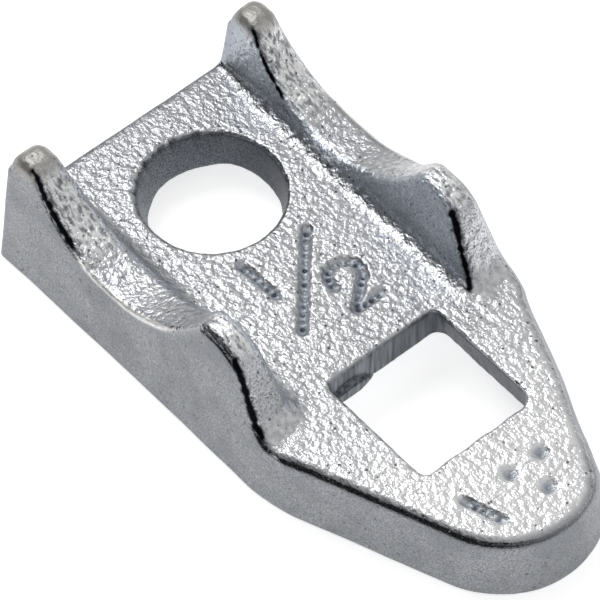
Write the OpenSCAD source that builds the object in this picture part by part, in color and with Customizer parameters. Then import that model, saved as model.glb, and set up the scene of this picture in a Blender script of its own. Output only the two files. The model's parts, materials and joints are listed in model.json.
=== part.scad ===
// Clamp back, also called a pipe spacer: one iron casting that holds a conduit off the wall it is fixed to.
// The conduit lies across the casting, in the round seat between its four horns.
// The strap's carriage bolt comes up through the square hole, which keeps the bolt from turning.
// A screw through the round hole can hold the casting on the wall before the strap goes on.
// X runs from the square end to the round nose, Y across, and Z up from the mounting face.
// The origin is the middle of the mounting face.

/* [Outline] */
// Length from the square end to the tip of the nose
body_l = 49.6; // [48:0.1:54]
// Width across the mounting face
body_w = 26; // [25:0.1:28]
// Length of the parallel sides, up to where the taper starts
straight_l = 30.7; // [30:0.1:33]
// Radius of the nose at the mounting face
nose_r = 8.1; // [7.5:0.1:9]
// Lean of the parallel sides, in degrees
side_draft = 5.5; // [3:0.1:7.3]
// Lean of the nose and of the tapered sides, in degrees
nose_draft = 7.3; // [5.5:0.1:8]
// Lean of the square end, in degrees
end_draft = 1; // [0.5:0.1:3]

/* [Plate] */
// Height of the plate's top face above the mounting face
plate_z = 5.7; // [5.2:0.1:5.8]
// Depth of the hollow under the plate
hollow_h = 2.3; // [1:0.1:2.8]
// Width of the rim that goes round the hollow
rim_w = 2.8; // [2:0.1:3.2]

/* [Conduit seat] */
// Radius of the seat, a little more than half of a 21.34 mm conduit
seat_r = 10.85; // [10.75:0.05:10.95]
// Distance from the square end to the conduit's centreline
seat_x = 12.1; // [11.9:0.1:12.4]
// Height of the conduit's centreline above the mounting face
seat_z = 17.5; // [17.4:0.1:17.9]

/* [Horns and ribs] */
// Height of the horns at the square end
end_horn_z = 11.8; // [11.4:0.1:12.4]
// Radius of an end horn's outer corner
end_horn_r = 1.5; // [0.5:0.1:1.6]
// Height of the horns in the middle
mid_horn_z = 12; // [11.6:0.1:12.4]
// Radius of a mid horn's front corner
mid_horn_r = 1.8; // [1:0.1:2.2]
// Distance from the square end to the centre of a mid horn's front corner
mid_horn_x = 24.2; // [23.6:0.1:24.8]
// Slope of a mid horn's front, in degrees from the plate
mid_horn_slope = 60; // [50:1:75]
// Distance between the two ribs, at the plate
channel_w = 16.9; // [15:0.1:17.5]
// Lean of the ribs' inner faces, in degrees
rib_draft = 8.5; // [3:0.1:10]
// Radius of the fillet between a rib and the plate
rib_fillet = 0.9; // [0.5:0.1:1]

/* [Holes] */
// Diameter of the round hole
round_d = 11.2; // [9:0.1:11.6]
// Distance from the square end to the round hole's centre
round_x = 9.2; // [8.8:0.1:10.5]
// Side of the square hole
square_w = 10.8; // [9:0.1:11.2]
// Distance from the square end to the square hole's centre
square_x = 33.6; // [33:0.1:34.5]

/* [Hidden] */
$fn = 128;
// How far a cutting shape runs past the face that it cuts
past = 1;
// Height of the shapes that the outline is cut from, above every horn
over_z = max(end_horn_z, mid_horn_z) + past;
// The tapered sides run this far inside the tangent to the nose, so that the two faces cross cleanly
lap = 0.02;
// The angle of the tapered sides to the X axis
nose_x = body_l - nose_r;
corner_dx = nose_x - straight_l;
corner_dist = norm([corner_dx, body_w / 2]);
taper = atan2(body_w / 2, corner_dx) + acos((nose_r - lap) / corner_dist) - 90;

// Where a tapered side comes nearest to the middle of a nose of radius r
function touch(r) = [nose_x + (r - lap) * sin(taper), (r - lap) * cos(taper)];

// How far a wall that leans at this angle moves in, at height z
function lean(z, angle) = z * tan(angle);

// Half the channel's width, at height z
function channel_half(z) = channel_w / 2 + (z - plate_z) * tan(rib_draft);

// Pushes a side view, drawn in X and Z, out past both sides
module across() {
    rotate([90, 0, 0])
        linear_extrude(body_w + 2 * past, center = true)
            children();
}

// A round bar that lies across the body, with its centre at x and z
module bar_across(x, z, r) {
    translate([x, 0, z])
        rotate([90, 0, 0])
            cylinder(h = body_w + 2 * past, r = r, center = true);
}

// Pushes an end view, drawn in Y and Z, along X
module along(length) {
    rotate([90, 0, 90])
        linear_extrude(length)
            children();
}

// Everything between the two leaning sides
module between_sides() {
    top_half = body_w / 2 - lean(over_z, side_draft);
    along(body_l + past)
        polygon([[-body_w / 2, 0], [body_w / 2, 0], [top_half, over_z], [-top_half, over_z]]);
}

// Everything on the inner side of one tapered and leaning side: side is 1 or -1
module inside_taper(side) {
    translate([straight_l, side * body_w / 2, 0])
        rotate([0, 0, -side * taper])
            translate([-body_l, 0, 0])
                along(2 * body_l)
                    polygon([
                        [0, 0], [-side * lean(over_z, nose_draft), over_z],
                        [-side * body_l, over_z], [-side * body_l, 0]
                    ]);
}

// The leaning round nose, and everything behind the lines where the sides meet it
module behind_nose_tip() {
    top_r = nose_r - lean(over_z, nose_draft);
    translate([nose_x, 0, 0])
        cylinder(h = over_z, r1 = nose_r, r2 = top_r);
    across()
        polygon([[0, 0], [touch(nose_r)[0], 0], [touch(top_r)[0], over_z], [0, over_z]]);
}

// All that is as low as the plate
module plate_slab() {
    across()
        polygon([[0, 0], [body_l, 0], [body_l, plate_z], [plate_z * tan(end_draft), plate_z]]);
}

// The two end horns, as far as the seat's middle
module end_horns() {
    z = end_horn_z - end_horn_r;
    x = z * tan(end_draft) + end_horn_r / cos(end_draft);
    across()
        polygon([
            [0, 0], [seat_x, 0], [seat_x, end_horn_z], [x, end_horn_z],
            [x - end_horn_r * cos(end_draft), z + end_horn_r * sin(end_draft)]
        ]);
    bar_across(x, z, end_horn_r);
}

// The two mid horns, from the seat's middle
module mid_horns() {
    z = mid_horn_z - mid_horn_r;
    slope_top = [mid_horn_x, z] + mid_horn_r * [sin(mid_horn_slope), cos(mid_horn_slope)];
    foot_x = slope_top[0] + (slope_top[1] - plate_z) / tan(mid_horn_slope);
    across()
        polygon([
            [seat_x, 0], [seat_x, mid_horn_z], [mid_horn_x, mid_horn_z],
            slope_top, [foot_x, plate_z], [foot_x, 0]
        ]);
    bar_across(mid_horn_x, z, mid_horn_r);
}

// The block with its horns, before anything is cut out of it
module block() {
    intersection() {
        between_sides();
        inside_taper(1);
        inside_taper(-1);
        behind_nose_tip();
        union() {
            plate_slab();
            end_horns();
            mid_horns();
        }
    }
}

// The channel between the ribs, with a round fillet along each side of its floor
module channel() {
    z = plate_z + rib_fillet;
    y = channel_half(z) - rib_fillet / cos(rib_draft);
    wall = [y + rib_fillet * cos(rib_draft), z - rib_fillet * sin(rib_draft)];
    top_y = channel_half(over_z);
    translate([-past, 0, 0]) {
        along(body_l + 2 * past)
            polygon([
                [-y, plate_z], [y, plate_z], wall, [top_y, over_z],
                [-top_y, over_z], [-wall[0], wall[1]]
            ]);
        for (side = [-1, 1])
            translate([0, side * y, z])
                rotate([0, 90, 0])
                    cylinder(h = body_l + 2 * past, r = rib_fillet);
    }
}

// The hollow under the plate, the rim's width inside the outline
module hollow() {
    r = nose_r - rim_w;
    y = body_w / 2 - rim_w;
    corner_x = straight_l - rim_w * tan(taper / 2);
    translate([0, 0, -past]) {
        linear_extrude(hollow_h + past)
            polygon([
                [rim_w, -y], [corner_x, -y], [touch(r)[0], -touch(r)[1]],
                touch(r), [corner_x, y], [rim_w, y]
            ]);
        translate([nose_x, 0, 0])
            cylinder(h = hollow_h + past, r = r);
    }
}

module round_hole() {
    translate([round_x, 0, -past])
        cylinder(h = plate_z + 2 * past, d = round_d);
}

module square_hole() {
    translate([square_x, 0, plate_z / 2])
        cube([square_w, square_w, plate_z + 2 * past], center = true);
}

module clamp_back() {
    color("silver")
        translate([-body_l / 2, 0, 0])
            difference() {
                block();
                bar_across(seat_x, seat_z, seat_r);
                channel();
                hollow();
                round_hole();
                square_hole();
            }
}

clamp_back();
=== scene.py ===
"""The looks of the conduit clamp back, one zinc-plated iron casting.

It is a detailed mesh that stands for the CAD node. Sizes are in millimetres, x is counted from the square
end and z from the mounting face, except where a comment says otherwise.
"""

import json
import math

import bpy
import numpy as np
from mathutils import Matrix, Vector


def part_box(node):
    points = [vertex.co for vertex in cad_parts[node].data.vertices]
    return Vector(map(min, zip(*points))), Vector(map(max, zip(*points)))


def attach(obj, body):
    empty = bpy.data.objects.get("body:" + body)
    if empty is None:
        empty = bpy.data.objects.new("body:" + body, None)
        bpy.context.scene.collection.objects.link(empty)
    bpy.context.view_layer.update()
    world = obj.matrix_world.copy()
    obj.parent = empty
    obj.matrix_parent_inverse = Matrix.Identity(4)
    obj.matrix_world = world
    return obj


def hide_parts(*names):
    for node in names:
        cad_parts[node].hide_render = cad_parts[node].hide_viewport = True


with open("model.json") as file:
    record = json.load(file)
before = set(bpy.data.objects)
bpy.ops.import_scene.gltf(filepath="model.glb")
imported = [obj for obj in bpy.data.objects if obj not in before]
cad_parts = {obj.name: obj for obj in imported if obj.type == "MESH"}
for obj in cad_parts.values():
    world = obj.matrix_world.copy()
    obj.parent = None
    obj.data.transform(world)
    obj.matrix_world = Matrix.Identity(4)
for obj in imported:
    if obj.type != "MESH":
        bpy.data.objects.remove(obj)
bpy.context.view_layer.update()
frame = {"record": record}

MM = 0.001
NODE = "clamp_back"


# Sizes read from the CAD part ------------------------------------------------------------------

low, high = (np.array(corner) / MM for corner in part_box(NODE))
mounts = {m["name"]: m for m in frame["record"]["mounts"]}
END_X = low[0]
BODY_L = high[0] - low[0]
HALF_W = high[1]
MID_HORN_Z = high[2]


def mount_x(name):
    """Distance from the square end to a mount, in mm."""
    return mounts[name]["pos_m"][0] / MM - END_X


SEAT_X = mount_x("conduit_seat")
SEAT_R = mounts["conduit_seat"]["dims"]["r_mm"]
SEAT_Z = mounts["conduit_seat"]["pos_m"][2] / MM + SEAT_R
ROUND_X = mount_x("round_hole")
ROUND_R = mounts["round_hole"]["dims"]["r_mm"]
WEB_T = mounts["round_hole"]["dims"]["length_mm"]
SQUARE_X = mount_x("square_hole")
PLATE_Z = mounts["square_hole"]["pos_m"][2] / MM
HOLLOW_H = PLATE_Z - WEB_T

# Sizes that the record doesn't hold, as in the CAD part
STRAIGHT_L = 30.7
NOSE_R = 8.1
NOSE_X = BODY_L - NOSE_R
SIDE_DRAFT = math.radians(5.5)
NOSE_DRAFT = math.radians(7.3)
END_DRAFT = math.radians(1)
RIM_W = 2.8
END_HORN_Z = 11.8
END_HORN_R = 1.5
HORN_SLOPE = math.radians(60)
MID_HORN_X = 24.2
MID_HORN_R = 1.8
CHANNEL_HALF = 8.45
RIB_DRAFT = math.radians(8.5)
SQUARE_HALF = 5.4

# Rounding that only the casting has. The last is for the rims of the holes and of the hollow.
CAST_EDGE_R = 0.9
SADDLE_EDGE_R = 0.4
FOOT_R = 0.3
CORNER_R = 0.35
HOLE_EDGE_R = 0.4

# How far the near side stands out of the CAD part's side: towards the rear, and more at the corner
PROUD = 0.2
PROUD_CORNER = 0.15

STEP = 0.16


# The casting as a field: negative inside the iron, positive outside, in mm ------------------------


def round_max(a, b, r):
    """What is inside both a and b, with the edge between them rounded to radius r."""
    both = np.minimum(-r, np.maximum(a, b))
    return both + np.hypot(np.maximum(r + a, 0), np.maximum(r + b, 0))


def round_min(a, b, r):
    """What is inside a or b, with a fillet of radius r between them."""
    return -round_max(-a, -b, r)


def smooth(t):
    """An easing from 0 to 1 as t goes from 0 to 1, level outside that."""
    t = np.clip(t, 0, 1)
    return t * t * (3 - 2 * t)


CORNER = math.hypot(NOSE_X - STRAIGHT_L, HALF_W)
TAPER = math.atan2(HALF_W, NOSE_X - STRAIGHT_L) + math.acos(NOSE_R / CORNER) - math.pi / 2


def flank(x, y):
    """Distance in plan from the sides and the nose, at the mounting face."""
    ay = np.abs(y)
    taper = (x - STRAIGHT_L) * math.sin(TAPER) + (ay - HALF_W) * math.cos(TAPER)
    straight = round_max(ay - HALF_W, taper, 1.0)
    nose = np.hypot(x - NOSE_X, y) - NOSE_R
    at_nose = (x - NOSE_X) * math.cos(TAPER) - ay * math.sin(TAPER) > 0
    return np.where(at_nose, nose, straight)


def sides(x, y, z, inset=0.0):
    """The leaning sides and nose, moved inwards by inset.

    The nose leans more than the sides, and most on its far side. The near side stands out at the rear.
    """
    far = smooth((BODY_L - 1 - x) / 4) * smooth(y / 4)
    side_lean, nose_lean = math.tan(SIDE_DRAFT), math.tan(NOSE_DRAFT)
    lean = side_lean + (nose_lean - side_lean) * smooth((x - 29.5) / 4)
    lean = lean + far * (0.06 * smooth((x - 29) / 3) + 0.08 * smooth((x - 38) / 5))
    proud = (PROUD * smooth((18 - x) / 12) + PROUD_CORNER * smooth((4 - x) / 4)) * smooth(-y / 4)
    return (flank(x, y) - proud + inset + z * lean) * math.cos(NOSE_DRAFT)


def end(x, z, inset=0.0):
    """The square end's wall, moved inwards by inset."""
    return (inset - x + z * math.tan(END_DRAFT)) * math.cos(END_DRAFT)


def stroke(x, y, points):
    """Distance in plan from a line drawn through the points."""
    best = np.full(np.broadcast(x, y).shape, 1e9, np.float32)
    for (ax, ay), (bx, by) in zip(points, points[1:]):
        dx, dy = bx - ax, by - ay
        t = np.clip(((x - ax) * dx + (y - ay) * dy) / (dx * dx + dy * dy), 0, 1)
        best = np.minimum(best, np.hypot(x - ax - t * dx, y - ay - t * dy))
    return best


def arc(cx, cy, rx, ry, first, last, steps=10):
    """Points along part of an ellipse, between two angles in degrees from +Y towards +X."""
    angles = np.radians(np.linspace(first, last, steps))
    return [(cx + rx * math.sin(a), cy + ry * math.cos(a)) for a in angles]


def spaced(points, gap):
    """Places a gap apart along a line drawn through the points."""
    corners = np.array(points)
    run = np.concatenate([[0], np.cumsum(np.hypot(*np.diff(corners, axis=0).T))])
    at = np.linspace(0.3, run[-1] - 0.3, round(run[-1] / gap))
    return list(zip(np.interp(at, run, corners[:, 0]), np.interp(at, run, corners[:, 1])))


# The size mark 1/2, drawn across the plate with the tops of its figures towards the square end.
# Each line is a row of punched pits in a shallow groove.
SIZE_MARK = [
    [(15.9, -2.85), (19.7, -2.6)],
    [(16.5, 3.1), (23.4, -3.3)],
    arc(21.6, 2.5, 1.3, 1.35, 165, 400) + [(24.5, 1.1), (24.5, 3.5)],
]

# A plain foundry tally on the nose: a bar and a triangle of dimples
BAR = [(42.4, -4.4), (45.4, -3.4)]
DIMPLES = arc(43.7, 1.2, 1.75, 1.75, 90, 330, 3)

MARKS = SIZE_MARK + [BAR]
PIT_GAP = 0.66
PITS = [pit for line in MARKS for pit in spaced(line, PIT_GAP)]


def near(x, y, places):
    """Distance in plan from the nearest of the places."""
    return np.minimum.reduce([np.hypot(x - px, y - py) for px, py in places])


def mark_depth(x, y):
    """How deep the size mark and the tally are sunk into the plate."""
    lines = np.minimum.reduce([stroke(x, y, line) for line in MARKS])
    cut = 0.3 * smooth((0.62 - lines) / 0.5)
    dimple = 0.35 * smooth((0.95 - near(x, y, DIMPLES)) / 0.8)
    return np.maximum(cut, dimple) + 0.12 * smooth((0.3 - near(x, y, PITS)) / 0.2)


def saddle(x):
    """1 along the low part of the seat, where the conduit has rubbed the edges bright."""
    return smooth((x - 7.5) / 2) * smooth((19.5 - x) / 2)


def inner_face(y, z):
    """Distance out of the ribs' inner faces, into the channel."""
    return (CHANNEL_HALF + (z - PLATE_Z) * math.tan(RIB_DRAFT) - np.abs(y)) * math.cos(RIB_DRAFT)


def rib_profile(x, z):
    """The ribs in side view, from the seat's arc down."""
    seat = SEAT_R - np.hypot(x - SEAT_X, z - SEAT_Z)
    rear = end(x, z) - 2 * np.maximum(0, END_HORN_Z - END_HORN_R - z)
    end_top = round_max(z - END_HORN_Z, rear, END_HORN_R)
    top = np.where(x < SEAT_X, end_top, z - MID_HORN_Z)
    slope_top_x = MID_HORN_X + MID_HORN_R * math.sin(HORN_SLOPE)
    slope_top_z = MID_HORN_Z - MID_HORN_R * (1 - math.cos(HORN_SLOPE))
    front = (x - slope_top_x) * math.sin(HORN_SLOPE) + (z - slope_top_z) * math.cos(HORN_SLOPE)
    return round_max(round_max(seat, top, 0.7), front, MID_HORN_R)


def ribs(x, y, z):
    """The two ribs with their horns."""
    on_slope = smooth((x - MID_HORN_X) / 2)
    at_end = smooth((z - 8.5) / 3) * smooth((5 - x) / 3)
    return round_max(rib_profile(x, z), inner_face(y, z), 0.6 + 0.4 * on_slope + 0.4 * at_end)


def bolt_hole(x, y, below):
    """The round hole, negative inside it. It narrows downwards, with a ragged lip at its rear."""
    dx, dy = x - ROUND_X - 0.17 * below, y - 0.17 * below
    rear = smooth((-dx / ROUND_R - 0.5) / 0.3)
    angle = np.arctan2(dy, dx)
    ragged = 0.25 * rear + 0.06 * np.sin(5 * angle)
    lip = 0.07 * rear * (1 - below) ** 4 * (np.sin(23 * angle) + np.sin(37 * angle + 1))
    return np.hypot(dx, dy) - ROUND_R - 0.1 + (0.65 + ragged) * below + lip


def broached_hole(x, y, below):
    """The square hole, negative inside it. Its far wall leans outwards and its front edge is wavy."""
    front = smooth((x - SQUARE_X) / 3)
    far = smooth(y / 3)
    corner = 0.6 + 0.6 * front * far + 0.45 * below * far
    half_x = SQUARE_HALF - 0.04 * front * (1 + np.sin(2.1 * y + 1))
    dx = np.abs(x - SQUARE_X) - (half_x - corner)
    dy = np.abs(y - 0.12 - 0.4 * below) - (SQUARE_HALF - 0.12 + 0.4 * below - corner)
    return np.hypot(np.maximum(dx, 0), np.maximum(dy, 0)) + np.minimum(np.maximum(dx, dy), 0) - corner


BURR_Y = -2.9
BURR_HALF_W = 2.6
BURR_H = 1.5


def burr_bow(y):
    """1 at the middle of the burr's width, falling to 0 at its two ends."""
    return 1 - ((y - BURR_Y) / BURR_HALF_W) ** 2


def burr_edge(y, z):
    """The outline of the burr at the foot of the square hole's rear wall, positive inside it."""
    return burr_bow(y) - (z - HOLLOW_H - 0.2) / BURR_H


def upper(x, y, z):
    """The plate and the ribs, before the outer walls cut them off."""
    fillet = 0.5 + 0.7 * smooth((x - 0.5) / 5)
    return round_min(z - PLATE_Z + mark_depth(x, y), ribs(x, y, z), fillet)


def burr(x, y, z):
    """How far the burr stands out of the rear wall, with a groove along its outline."""
    on_rear_wall = smooth((SQUARE_X - 4 - x) / 0.6)
    edge = burr_edge(y, z)
    swell = 0.45 * np.clip(burr_bow(y), 0, 1) * smooth(edge / 0.25)
    return on_rear_wall * (swell - 0.12 * smooth(1 - np.abs(edge) / 0.12))


def holes(x, y, z):
    """The two holes, negative inside them."""
    below = np.clip((PLATE_Z - z) / WEB_T, 0, 1)
    return np.minimum(bolt_hole(x, y, below), broached_hole(x, y, below) + burr(x, y, z))


def casting(x, y, z):
    """The whole casting. Its upper edges are sharper along the saddle."""
    edge_r = CAST_EDGE_R - (CAST_EDGE_R - SADDLE_EDGE_R) * saddle(x)
    body = round_max(upper(x, y, z), sides(x, y, z), edge_r)
    body = round_max(body, end(x, z), CORNER_R)
    body = round_max(body, -z, FOOT_R)
    hollow = round_max(sides(x, y, z, RIM_W), end(x, z, RIM_W), 1.0)
    hollow = round_max(hollow, z - HOLLOW_H, 0.8)
    body = round_max(body, -hollow, HOLE_EDGE_R)
    return round_max(body, -holes(x, y, z), HOLE_EDGE_R)


# From the field to a mesh --------------------------------------------------------------------------


def surface_net(field, lows, highs, step):
    """Vertices and quads of the surface where the field is zero, on a grid of the given step."""
    axes = [np.arange(a - 1.5 * step, b + 2 * step, step, dtype=np.float32) for a, b in zip(lows, highs)]
    grid = field(axes[0][:, None, None], axes[1][None, :, None], axes[2][None, None, :])
    inside = grid < 0
    cells = tuple(n - 1 for n in grid.shape)
    corners = [(i, j, k) for i in (0, 1) for j in (0, 1) for k in (0, 1)]

    def shifted(a, c):
        return a[c[0] : c[0] + cells[0], c[1] : c[1] + cells[1], c[2] : c[2] + cells[2]]

    count = sum(shifted(inside, c).astype(np.int8) for c in corners)
    active = np.argwhere((count > 0) & (count < 8))
    values = np.stack([grid[tuple((active + c).T)] for c in corners], 1)
    total = np.zeros((len(active), 3))
    crossings = np.zeros(len(active))
    for a, ca in enumerate(corners):
        for b, cb in enumerate(corners):
            if b > a and sum(abs(p - q) for p, q in zip(ca, cb)) == 1:
                va, vb = values[:, a], values[:, b]
                hit = (va < 0) != (vb < 0)
                t = np.where(hit, va / np.where(hit, va - vb, 1), 0)
                point = np.array(ca) + t[:, None] * (np.array(cb) - np.array(ca))
                total += point * hit[:, None]
                crossings += hit
    origin = np.array([axis[0] for axis in axes])
    verts = origin + step * (active + total / crossings[:, None])
    index = np.full(cells, -1, np.int32)
    index[tuple(active.T)] = np.arange(len(active))
    quads = []
    for axis in range(3):
        u, v = (axis + 1) % 3, (axis + 2) % 3
        here = [slice(None)] * 3
        there = [slice(None)] * 3
        here[axis], there[axis] = slice(0, -1), slice(1, None)
        change = inside[tuple(here)].astype(np.int8) - inside[tuple(there)]
        edges = np.argwhere(change != 0)
        outward = change[tuple(edges.T)] > 0
        ring = []
        for du, dv in ((-1, -1), (0, -1), (0, 0), (-1, 0)):
            cell = edges.copy()
            cell[:, u] += du
            cell[:, v] += dv
            ring.append(index[tuple(cell.T)])
        ring = np.stack(ring, 1)
        ring[~outward] = ring[~outward][:, ::-1]
        quads.append(ring)
    return verts, np.concatenate(quads)


def gradient(field, p, step=0.02):
    """How the field changes at each point, along each axis."""
    x, y, z = p.T
    return np.stack(
        [
            field(x + step, y, z) - field(x - step, y, z),
            field(x, y + step, z) - field(x, y - step, z),
            field(x, y, z + step) - field(x, y, z - step),
        ],
        1,
    ) / (2 * step)


def settle(field, p, rounds=2):
    """Moves points onto the surface and returns them with their outward normals."""
    for _ in range(rounds):
        slope = gradient(field, p)
        size = np.maximum((slope * slope).sum(1), 0.2)
        move = slope * (field(*p.T) / size)[:, None]
        p = p - np.clip(move, -0.1, 0.1)
    slope = gradient(field, p)
    return p, slope / np.maximum(np.linalg.norm(slope, axis=1), 1e-6)[:, None]


LATTICE = 64


def noise(p, cell, seed):
    """Smooth noise between about -1 and 1, whose lumps are about one cell wide."""
    draw = np.random.default_rng(seed)
    slopes = draw.normal(size=(LATTICE, LATTICE, LATTICE, 3)).astype(np.float32)
    slopes /= np.linalg.norm(slopes, axis=3, keepdims=True)
    q = p / cell + 1000.0
    base = np.floor(q).astype(np.int64)
    part = (q - base).astype(np.float32)
    ease = part * part * part * (part * (part * 6 - 15) + 10)
    total = np.zeros(len(p), np.float32)
    for i in (0, 1):
        for j in (0, 1):
            for k in (0, 1):
                corner = (base + (i, j, k)) % LATTICE
                slope = slopes[corner[:, 0], corner[:, 1], corner[:, 2]]
                weight = np.ones(len(p), np.float32)
                for axis, bit in enumerate((i, j, k)):
                    weight *= ease[:, axis] if bit else 1 - ease[:, axis]
                total += weight * (slope * (part - (i, j, k))).sum(1)
    return total * 1.5


def painted_dark_bands(p, across):
    """1 on the ragged bands of painted dark reflection on the end horns and the mid horns' slopes.

    They run along the inner edges on the far side and along the outer edges on the near side.
    """
    x, y, z = p.T
    ragged = 1 + 0.9 * noise(p, 0.5, 7)
    inner = np.abs(inner_face(y, z) - rib_profile(x, z)) + np.maximum(0, np.abs(inner_face(y, z)) - 0.6)
    mid_w = (0.36 + 0.2 * smooth((27.5 - x) / 2.5)) * ragged
    on_mid = smooth((x - 24.9) / 0.4) * smooth((z - PLATE_Z) / 0.3) * smooth((29.6 - x) / 0.4)
    on_end = smooth((x - 2.4) / 0.5) * smooth((7.6 - x) / 0.8)
    line = on_mid * smooth(1.3 - inner / mid_w) + on_end * smooth(1.3 - inner / (0.24 * ragged))
    outer = smooth(1.3 - np.abs(across + 0.2) / (0.38 * ragged)) * (y < 0)
    near_slope = smooth((x - 24.8) / 0.4) * smooth((29.4 - x) / 0.5)
    near_end = smooth((x - 2.2) / 0.4) * smooth((9 - x) / 2)
    return np.clip(line * (y > 0) + outer * (near_slope + near_end), 0, 1)


def finishes(p):
    """What the material needs to know at each point, from 0 to 1 except for sunk."""
    x, y, z = p.T
    across = np.maximum(sides(x, y, z), end(x, z)) - upper(x, y, z)
    wall = smooth((across + 0.15) / 0.3)
    under = smooth((0.3 - z) / 0.3)
    bore = smooth((0.15 - holes(x, y, z)) / 0.15)
    tip = smooth((z - 10.2) / 1.2) * smooth((4 - x) / 1.5)
    edge = smooth(1.2 - np.abs(across) / 0.7) * (1 - under) * (1 - bore) * (1 - tip)
    inner = smooth(1.4 - np.abs(inner_face(y, z)) / 0.5) * smooth((z - PLATE_Z - 0.1) / 0.8) * (1 - wall)
    open_face = (1 - wall) * (1 - under) * (1 - bore)
    rough = open_face * (1 - 0.6 * edge) * (1 - 0.5 * tip) * (1 - 0.5 * inner)
    # The burr's outline and the pits are painted dark in the material as painted shade; some pits get less
    # of it.
    burr_outline = smooth(1 - np.abs(burr_edge(y, z)) / 0.12) * (np.abs(x - SQUARE_X + SQUARE_HALF) < 0.6)
    paler_pits = 0.35 * smooth((0.3 - near(x, y, PITS)) / 0.2) * smooth(0.5 + noise(p, 0.9, 6))
    slope = smooth((x - MID_HORN_X - 0.6) / 0.8) * smooth((29 - x) / 1.2)
    slope = slope * smooth((z - PLATE_Z - 0.4) / 0.6) * (1 - wall)
    on_top = smooth(1.3 - np.abs(rib_profile(x, z)) / 0.5) * smooth((z - PLATE_Z - 0.5) / 0.8) * (1 - wall)
    cap = smooth((x - 21) / 1.2) * smooth((25.8 - x) / 0.8) * (1 - 0.8 * edge)
    # Apart from rough, tip and rubbed, these mark where the material paints light or shade.
    return {
        "rough": rough,
        "sunk": (mark_depth(x, y) / 0.4 - paler_pits) * rough + 0.92 * burr_outline * bore,
        "bore": bore,
        "tip": tip,
        "edge": edge,
        "rubbed": smooth(1.1 - np.abs(across) / 0.35) * (1 - bore) * (1 - under) * saddle(x),
        "inner": inner,
        "painted_band": painted_dark_bands(p, across) * (1 - bore),
        "slope": slope,
        "strip": on_top * (smooth((10.5 - x) / 2.5) * (1 - tip) + cap),
    }


def unevenness(p, rough, bore):
    """How far the cast skin stands out at each point: broad lumps, pebbles, and streaks in the holes."""
    lumps = 0.05 * noise(p, 5.0, 1) + 0.03 * noise(p, 1.7, 2) * (0.4 + 0.6 * rough)
    pebbles = 0.035 * noise(p, 0.8, 3) + 0.02 * noise(p, 0.5, 4)
    streaks = 0.03 * noise(p * (1, 1, 0.1), 0.5, 5) * bore
    return lumps + pebbles * (0.15 + 0.85 * rough) + streaks


def add_object(name, data):
    thing = bpy.data.objects.new(name, data)
    bpy.context.scene.collection.objects.link(thing)
    return thing


def mesh_of(name, verts, quads):
    """A smooth-shaded mesh, moved from the square end to the shared frame and turned to metres."""
    mesh = bpy.data.meshes.new(name)
    mesh.vertices.add(len(verts))
    world = verts * MM
    world[:, 0] += END_X * MM
    mesh.vertices.foreach_set("co", world.astype(np.float32).ravel())
    mesh.loops.add(quads.size)
    mesh.loops.foreach_set("vertex_index", quads.astype(np.int32).ravel())
    mesh.polygons.add(len(quads))
    mesh.polygons.foreach_set("loop_start", np.arange(0, quads.size, 4, dtype=np.int32))
    mesh.polygons.foreach_set("loop_total", np.full(len(quads), 4, np.int32))
    mesh.polygons.foreach_set("use_smooth", np.ones(len(quads), bool))
    mesh.update(calc_edges=True)
    mesh.validate()
    return mesh


def build_casting():
    step = STEP
    lows, highs = (0, -HALF_W - 0.5, 0), (BODY_L, HALF_W, MID_HORN_Z)
    verts, quads = surface_net(casting, lows, highs, step)
    verts, normals = settle(casting, verts)
    paint = finishes(verts)
    out = unevenness(verts, paint["rough"], paint["bore"])
    mesh = mesh_of("casting", verts + normals * out[:, None], quads)
    for name, values in paint.items():
        layer = mesh.attributes.new(name, "FLOAT", "POINT")
        layer.data.foreach_set("value", values.astype(np.float32))
    return add_object("casting", mesh)


# Materials -------------------------------------------------------------------------------------------


class Nodes:
    """A short way to write a material's nodes."""

    def __init__(self, name):
        self.material = bpy.data.materials.new(name)
        self.material.use_nodes = True
        self.tree = self.material.node_tree
        self.shader = self.tree.nodes["Principled BSDF"]

    def add(self, kind, inputs=(), **settings):
        node = self.tree.nodes.new("ShaderNode" + kind)
        for key, value in settings.items():
            setattr(node, key, value)
        for key, value in dict(inputs).items():
            self.put(node.inputs[key], value)
        return node

    def put(self, socket, value):
        if isinstance(value, bpy.types.NodeSocket):
            self.tree.links.new(value, socket)
        else:
            socket.default_value = value

    def math(self, operation, a, b=0.0, clamp=False):
        return self.add("Math", {0: a, 1: b}, operation=operation, use_clamp=clamp).outputs[0]

    def scale(self, value, low_in, high_in, low_out, high_out):
        node = self.add("MapRange", {0: value, 1: low_in, 2: high_in, 3: low_out, 4: high_out})
        return node.outputs[0]

    def mix(self, factor, a, b):
        node = self.add("Mix", data_type="RGBA")
        self.put(node.inputs[0], factor)
        self.put(node.inputs[6], a)
        self.put(node.inputs[7], b)
        return node.outputs[2]


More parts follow.
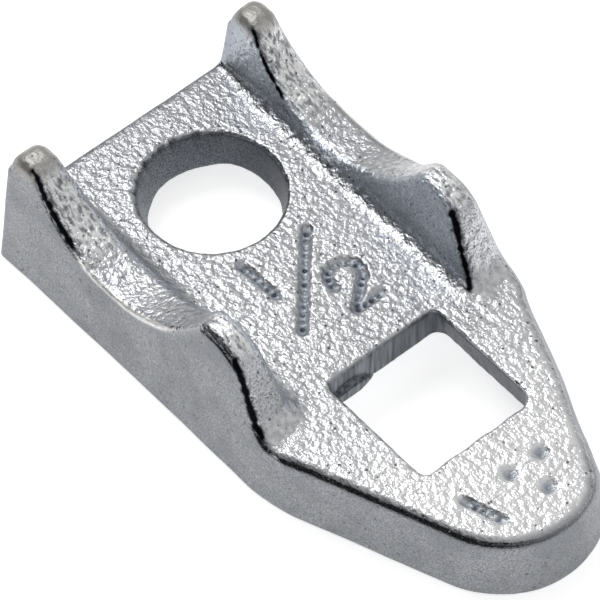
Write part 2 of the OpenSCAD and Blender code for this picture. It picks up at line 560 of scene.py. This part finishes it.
def zinc():
    n = Nodes("zinc_plated_iron")
    place = n.add("TexCoord").outputs["Object"]
    place = n.add("VectorMath", {0: place, 3: 1 / MM}, operation="SCALE").outputs[0]
    drawn = n.add("VectorMath", {0: place, 1: (0.5, 1, 0.5)}, operation="MULTIPLY").outputs[0]
    upright = n.add("VectorMath", {0: place, 1: (1, 1, 0.08)}, operation="MULTIPLY").outputs[0]
    along, across, _ = n.add("SeparateXYZ", {0: place}).outputs
    rough, sunk, bore, tip, edge, rubbed, inner, painted_band, slope, strip = (
        n.add("Attribute", attribute_name=name).outputs["Fac"]
        for name in ("rough", "sunk", "bore", "tip", "edge", "rubbed", "inner", "painted_band", "slope", "strip")
    )
    pebble = n.add("TexNoise", {"Vector": place, "Scale": 2.1, "Detail": 2.0, "Roughness": 0.5}).outputs[0]
    grain = n.add("TexNoise", {"Vector": place, "Scale": 7.0, "Detail": 3.0}).outputs[0]
    tone = n.add("TexNoise", {"Vector": place, "Scale": 0.35, "Detail": 3.0}).outputs[0]
    streak = n.add("TexNoise", {"Vector": upright, "Scale": 3.0, "Detail": 3.0}).outputs[0]
    flow = n.add("TexNoise", {"Vector": drawn, "Scale": 3.0, "Detail": 3.0}).outputs[0]
    dots = n.add("TexVoronoi", {"Vector": place, "Scale": 1.9})
    size = n.add("SeparateColor", {0: dots.outputs["Color"]}).outputs[0]
    dot = n.math("SUBTRACT", n.scale(size, 0.2, 1, 0.0, 0.27), dots.outputs["Distance"])

    # Painted light and shade: the plate is painted brighter towards the nose and darker towards the rear.
    to_nose = n.scale(along, 2, 17, 0, 1)
    low_tone = n.mix(to_nose, (0.45, 0.46, 0.48, 1), (0.84, 0.84, 0.85, 1))
    high_tone = n.mix(to_nose, (0.69, 0.695, 0.71, 1), (1.0, 1.0, 1.0, 1))
    plate = n.mix(n.scale(pebble, 0.36, 0.62, 0, 1), low_tone, high_tone)
    plate = n.mix(n.scale(tone, 0.35, 0.65, 0, 0.25), plate, (0.50, 0.51, 0.53, 1))
    plate = n.mix(n.scale(along, -22, -4, 0.4, 0), plate, (0.30, 0.31, 0.33, 1))
    side = n.mix(n.scale(grain, 0.3, 0.7, 0, 1), (0.18, 0.19, 0.205, 1), (0.41, 0.42, 0.44, 1))
    side = n.mix(n.scale(tone, 0.4, 0.65, 0, 0.45), side, (0.18, 0.19, 0.205, 1))
    colour = n.mix(rough, side, plate)
    # Painted highlights: the end horns' seat strips and the mid horns' caps get a bright mottled colour of
    # their own.
    bright = n.mix(n.scale(flow, 0.38, 0.54, 0, 1), (0.25, 0.26, 0.28, 1), (1.0, 1.0, 1.0, 1))
    colour = n.mix(n.scale(strip, 0, 1, 0, 0.85), colour, bright)
    # Painted light: the mid horns' slopes are painted lighter, with dark specks over them.
    colour = n.mix(n.scale(slope, 0, 1, 0, 0.5), colour, (0.80, 0.82, 0.86, 1))
    specks = n.math("MULTIPLY", slope, n.scale(grain, 0.36, 0.5, 0.6, 0), clamp=True)
    colour = n.mix(specks, colour, (0.07, 0.08, 0.10, 1))
    # Painted light and shade: the ribs' inner faces get a lighter bluish tone of their own, painted darker
    # near the square end.
    shaded = n.mix(n.scale(grain, 0.35, 0.65, 0, 1), (0.44, 0.48, 0.55, 1), (0.84, 0.88, 0.94, 1))
    shaded = n.mix(n.scale(along, -24.5, -20, 0.8, 0), shaded, (0.22, 0.24, 0.28, 1))
    colour = n.mix(n.scale(inner, 0, 1, 0, 0.9), colour, shaded)
    # Painted reflection: the rounded edges are painted a little darker, for the dark reflections along
    # them.
    colour = n.mix(n.scale(edge, 0, 1, 0, 0.3), colour, (0.22, 0.225, 0.24, 1))
    colour = n.mix(n.scale(rubbed, 0, 0.6, 0, 1), colour, (0.95, 0.94, 0.92, 1))
    colour = n.mix(n.scale(tip, 0, 1, 0, 0.6), colour, (0.42, 0.395, 0.35, 1))
    spot = n.math("MULTIPLY", n.scale(dot, 0.0, 0.05, 0, 1), n.scale(rough, 0, 1, 0.45, 0.8))
    colour = n.mix(spot, colour, (0.05, 0.05, 0.06, 1))
    # Painted reflections: the ragged bands along the horns' edges are painted near black.
    colour = n.mix(n.scale(painted_band, 0.1, 0.8, 0, 1), colour, (0.006, 0.007, 0.009, 1))
    # Painted shade: the size mark's grooves are painted darker, and their pits and the burr's outline in
    # the square hole near black.
    colour = n.mix(n.scale(sunk, 0.15, 0.75, 0, 0.75), colour, (0.38, 0.42, 0.47, 1))
    colour = n.mix(n.scale(sunk, 0.78, 0.98, 0, 0.9), colour, (0.04, 0.055, 0.08, 1))
    # Painted shade: the walls of the holes are painted dark, darkest towards the far side, over their grain
    # and streaks.
    wall = n.mix(n.scale(along, -5, 0, 0, 1), grain, streak)
    bore_grain_and_shade = n.mix(n.scale(wall, 0.35, 0.65, 0, 1), (0.09, 0.10, 0.115, 1), (0.29, 0.31, 0.34, 1))
    bore_grain_and_shade = n.mix(n.scale(across, -4, 6, 0, 0.75), bore_grain_and_shade, (0.05, 0.055, 0.065, 1))
    colour = n.mix(n.math("SUBTRACT", bore, n.scale(sunk, 0.8, 1.1, 0, 0.8), clamp=True), colour, bore_grain_and_shade)
    n.put(n.shader.inputs["Base Color"], colour)
    n.shader.inputs["Metallic"].default_value = 1.0
    gloss = n.scale(rough, 0, 1, 0.46, 0.29)
    gloss = n.scale(edge, 0, 1, gloss, 0.17)
    gloss = n.scale(n.math("MAXIMUM", rubbed, tip), 0, 0.6, gloss, 0.45)
    n.put(n.shader.inputs["Roughness"], n.scale(n.math("MAXIMUM", sunk, painted_band), 0.15, 0.75, gloss, 0.5))

    height = n.math("MULTIPLY", pebble, n.scale(rough, 0, 1, 0.1, 1.0))
    height = n.math("ADD", height, n.math("MULTIPLY", flow, strip))
    height = n.math("ADD", height, n.math("MULTIPLY", grain, 0.12))
    bump = n.add("Bump", {"Strength": 1.0, "Distance": 0.18 * MM, "Height": height})
    n.put(n.shader.inputs["Normal"], bump.outputs[0])
    return n.material


def floor_material():
    n = Nodes("pale_floor")
    n.shader.inputs["Base Color"].default_value = (0.85, 0.85, 0.85, 1)
    n.shader.inputs["Roughness"].default_value = 0.9
    n.shader.inputs["Specular IOR Level"].default_value = 0.0
    n.shader.inputs["Emission Color"].default_value = (1, 1, 1, 1)
    n.shader.inputs["Emission Strength"].default_value = 0.65
    return n.material


# Scene -------------------------------------------------------------------------------------------------


def axes_of(azimuth, elevation, roll=0.0):
    """Right, up and back of a camera at those angles, in degrees."""
    a, e, r = (math.radians(v) for v in (azimuth, elevation, roll))
    right = Vector((math.cos(a), math.sin(a), 0))
    back = Vector((math.sin(a) * math.cos(e), -math.cos(a) * math.cos(e), math.sin(e)))
    up = back.cross(right)
    turned = math.cos(r) * right + math.sin(r) * up
    return turned, back.cross(turned), back


def looking(azimuth, elevation, distance, target, roll=0.0):
    """A place on a sphere round target, facing it."""
    right, up, back = axes_of(azimuth, elevation, roll)
    at = Vector(target) * MM + back * distance * MM
    return Matrix.Translation(at) @ Matrix((right, up, back)).transposed().to_4x4()


# Where the camera and the lamp are: angles in degrees, and places in the shared frame, in mm
CAMERA_LENS = 322
CAMERA_AZIMUTH = 47.89
CAMERA_ELEVATION = 53.68
CAMERA_ROLL = 1.30
CAMERA_AWAY = 400
CAMERA_TARGET = (-4.575, -0.756, 3.958)
LAMP_AZIMUTH = 271.8
LAMP_ELEVATION = 51.5
LAMP_AWAY = 160
LAMP_TARGET = (17, 0, PLATE_Z)
LAMP_SIZE = 90
LAMP_WATTS = 0.075

# The floor and the wall round it, in metres
FLOOR_HALF = 3.0
WALL_R = 2.9
WALL_H = 1.5


def add_camera():
    data = bpy.data.cameras.new("camera")
    data.lens = CAMERA_LENS
    data.clip_start = 0.01
    camera = add_object("camera", data)
    camera.matrix_world = looking(CAMERA_AZIMUTH, CAMERA_ELEVATION, CAMERA_AWAY, CAMERA_TARGET, CAMERA_ROLL)
    bpy.context.scene.camera = camera


def add_lamp():
    data = bpy.data.lights.new("softbox", "AREA")
    data.shape = "RECTANGLE"
    data.size = data.size_y = LAMP_SIZE * MM
    data.energy = LAMP_WATTS
    lamp = add_object("softbox", data)
    lamp.matrix_world = looking(LAMP_AZIMUTH, LAMP_ELEVATION, LAMP_AWAY, LAMP_TARGET)


def add_floor(material):
    r = FLOOR_HALF
    mesh = bpy.data.meshes.new("floor")
    mesh.from_pydata([(-r, -r, 0), (r, -r, 0), (r, r, 0), (-r, r, 0)], [], [(0, 1, 2, 3)])
    mesh.materials.append(material)
    add_object("floor", mesh)


def add_backdrop(material):
    """A pale wall round the floor, for low views. It is seen, but it lights nothing."""
    ring = [(WALL_R * math.cos(a), WALL_R * math.sin(a)) for a in np.radians(np.arange(0, 360, 5))]
    points = [(x, y, z) for z in (0, WALL_H) for x, y in ring]
    n = len(ring)
    mesh = bpy.data.meshes.new("backdrop")
    mesh.from_pydata(points, [], [(i, (i + 1) % n, n + (i + 1) % n, n + i) for i in range(n)])
    mesh.materials.append(material)
    wall = add_object("backdrop", mesh)
    wall.visible_diffuse = wall.visible_glossy = wall.visible_shadow = False


# The sky: its brightest direction, and how bright it is from facing away (0) to facing that way (1)
SKY_TOWARD = (0.0, 0.6, 0.8)
SKY_LEVELS = ((0.0, 0.02), (0.1, 0.36), (0.3, 0.52), (0.6, 0.78), (0.9, 0.72))
SKY_STRENGTH = 0.85
LOW_SKY_TINT = (0.93, 0.97, 1.06)


def light_studio():
    """A soft sky, bright overhead and towards the far side, and dark low down on the near side."""
    scene = bpy.context.scene
    scene.view_settings.view_transform = "Standard"
    world = bpy.data.worlds.new("studio")
    world.use_nodes = True
    tree = world.node_tree
    direction = tree.nodes.new("ShaderNodeTexCoord").outputs["Generated"]
    toward = tree.nodes.new("ShaderNodeVectorMath")
    toward.operation = "DOT_PRODUCT"
    toward.inputs[1].default_value = SKY_TOWARD
    tree.links.new(direction, toward.inputs[0])
    ramp = tree.nodes.new("ShaderNodeValToRGB")
    stops = ramp.color_ramp.elements
    for at, level in SKY_LEVELS:
        stop = stops[0] if at == 0 else stops.new(at)
        tint = LOW_SKY_TINT if level < 0.4 else (1, 1, 1)
        stop.color = [part * level for part in tint] + [1]
    stops.remove(stops[-1])  # The ramp's own white end
    tree.links.new(toward.outputs["Value"], ramp.inputs[0])
    background = tree.nodes["Background"]
    tree.links.new(ramp.outputs[0], background.inputs["Color"])
    background.inputs["Strength"].default_value = SKY_STRENGTH
    scene.world = world


pale = floor_material()
add_camera()
add_floor(pale)
add_backdrop(pale)
light_studio()
add_lamp()

piece = build_casting()
piece.data.materials.append(zinc())
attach(piece, "root")
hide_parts(NODE)
